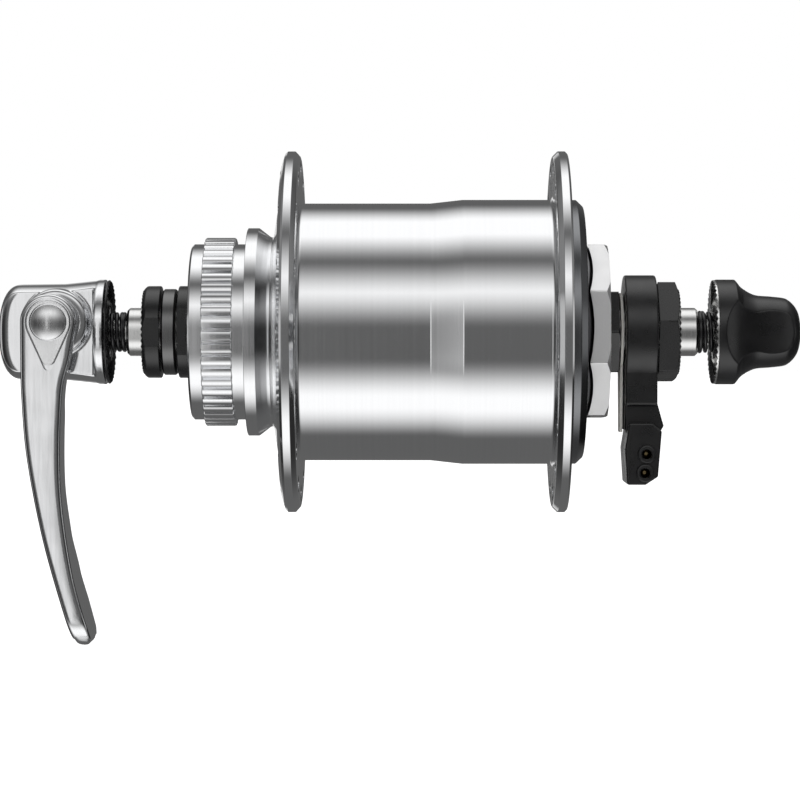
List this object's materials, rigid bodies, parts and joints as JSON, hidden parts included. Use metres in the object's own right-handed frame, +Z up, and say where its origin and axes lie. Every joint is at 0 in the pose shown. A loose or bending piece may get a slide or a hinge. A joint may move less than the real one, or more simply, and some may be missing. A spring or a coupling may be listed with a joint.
{
  "type": "front wheel generator hub",
  "caption": "Bicycle front hub with a generator inside, a splined disc-rotor seat, two spoke flanges, a plug connector and a quick-release skewer.",
  "frame": {"origin": "on the axle, halfway between the two faces that the fork ends are clamped against", "axes": "+X along the axle towards the electrical connector, +Z up, -Y the side that the lever's pin head faces"},
  "size_m": [0.1497, 0.0674, 0.0913],
  "materials": {
    "shell_aluminium": "bright turned and lightly polished",
    "cap_aluminium": "dark polished",
    "collar_aluminium": "pale satin",
    "lever_aluminium": "bright polished forging",
    "inset_aluminium": "fine satin",
    "plain_steel": "bright machined",
    "bearing_steel": "ground and polished",
    "black_steel": "black oxide, satin",
    "spring_steel": "black phosphate",
    "connector_plastic": "fine moulded texture",
    "nut_plastic": "satin black",
    "pale_plate": "pale grey beige, matt",
    "contact_brass": "bright",
    "soft_iron": "pressed, dull",
    "ferrite": "ground ceramic magnet, dark grey",
    "copper": "enamelled copper wire",
    "bobbin_plastic": "natural moulded",
    "seal_rubber": "matt black",
    "nylon": "natural nylon"
  },
  "bodies": {
    "axle_group": {"axle": "plain_steel", "left_locknut": "black_steel", "left_spacer": "black_steel", "left_cone": "black_steel", "right_cone": "black_steel", "insulating_plate": "pale_plate", "connector_body": "connector_plastic", "terminal_block": "connector_plastic", "terminal_pin_upper": "contact_brass", "terminal_pin_lower": "contact_brass", "right_locknut": "black_steel", "stator_core": "soft_iron", "claw_plate_left": "soft_iron", "claw_plate_right": "soft_iron", "coil_bobbin": "bobbin_plastic", "coil_winding": "copper", "coil_lead": "copper", "stator_nut": "plain_steel", "right_spring": "spring_steel"},
    "hub": {"hub_shell": "shell_aluminium", "end_cap": "cap_aluminium", "cap_collar": "collar_aluminium", "yoke_ring": "soft_iron", "magnet_ring": "ferrite", "left_bearing_cup": "bearing_steel", "right_bearing_cup": "bearing_steel", "left_dust_seal": "seal_rubber", "right_dust_seal": "seal_rubber"},
    "left_balls": {"left_ball_retainer": "plain_steel", "left_ball_1": "bearing_steel", "left_ball_2": "bearing_steel", "left_ball_3": "bearing_steel", "left_ball_4": "bearing_steel", "left_ball_5": "bearing_steel", "left_ball_6": "bearing_steel", "left_ball_7": "bearing_steel", "left_ball_8": "bearing_steel", "left_ball_9": "bearing_steel"},
    "right_balls": {"right_ball_retainer": "plain_steel", "right_ball_1": "bearing_steel", "right_ball_2": "bearing_steel", "right_ball_3": "bearing_steel", "right_ball_4": "bearing_steel", "right_ball_5": "bearing_steel", "right_ball_6": "bearing_steel", "right_ball_7": "bearing_steel", "right_ball_8": "bearing_steel", "right_ball_9": "bearing_steel"},
    "skewer_housing": {"qr_housing": "lever_aluminium", "qr_seat_ring": "black_steel", "left_spring": "spring_steel"},
    "lever": {"qr_lever": "lever_aluminium", "lever_inset": "inset_aluminium", "lever_dome": "lever_aluminium", "cam_shaft": "plain_steel"},
    "rod": {"skewer_rod": "plain_steel"},
    "nut_carrier": {"nut_lock_ring": "nylon"},
    "nut": {"qr_nut": "nut_plastic", "nut_insert": "plain_steel"}
  },
  "joints": [
    {"name": "hub_spin", "type": "hinge", "parent": "axle_group", "child": "hub", "pos_m": [0, 0, 0], "axis": [1, 0, 0], "continuous": true},
    {"name": "left_balls_orbit", "type": "hinge", "parent": "axle_group", "child": "left_balls", "pos_m": [-0.0365, 0, 0], "axis": [1, 0, 0], "continuous": true},
    {"name": "right_balls_orbit", "type": "hinge", "parent": "axle_group", "child": "right_balls", "pos_m": [0.031, 0, 0], "axis": [1, 0, 0], "continuous": true},
    {"name": "skewer_turn", "type": "hinge", "parent": "axle_group", "child": "skewer_housing", "pos_m": [-0.06, 0, 0], "axis": [1, 0, 0], "continuous": true},
    {"name": "lever_swing", "type": "hinge", "parent": "skewer_housing", "child": "lever", "pos_m": [-0.0666, 0, 0.0018], "axis": [0, 1, 0], "range_deg": [0, 180]},
    {"name": "skewer_pull", "type": "slide", "parent": "skewer_housing", "child": "rod", "axis": [1, 0, 0], "range_m": [0, 0.0014]},
    {"name": "nut_travel", "type": "slide", "parent": "rod", "child": "nut_carrier", "axis": [1, 0, 0], "range_m": [-0.0016, 0.0032], "deforming": ["right_spring"]},
    {"name": "nut_turn", "type": "hinge", "parent": "nut_carrier", "child": "nut", "pos_m": [0.0562, 0, 0], "axis": [1, 0, 0], "range_deg": [-720, 1440]}
  ],
  "couplings": [
    {"joint": "left_balls_orbit", "follows": "hub_spin", "ratio": 0.59},
    {"joint": "right_balls_orbit", "follows": "hub_spin", "ratio": 0.59},
    {"joint": "skewer_pull", "follows": "lever_swing", "m_per_rad": 0.0004456},
    {"joint": "nut_travel", "follows": "nut_turn", "m_per_rad": 0.00012732}
  ]
}
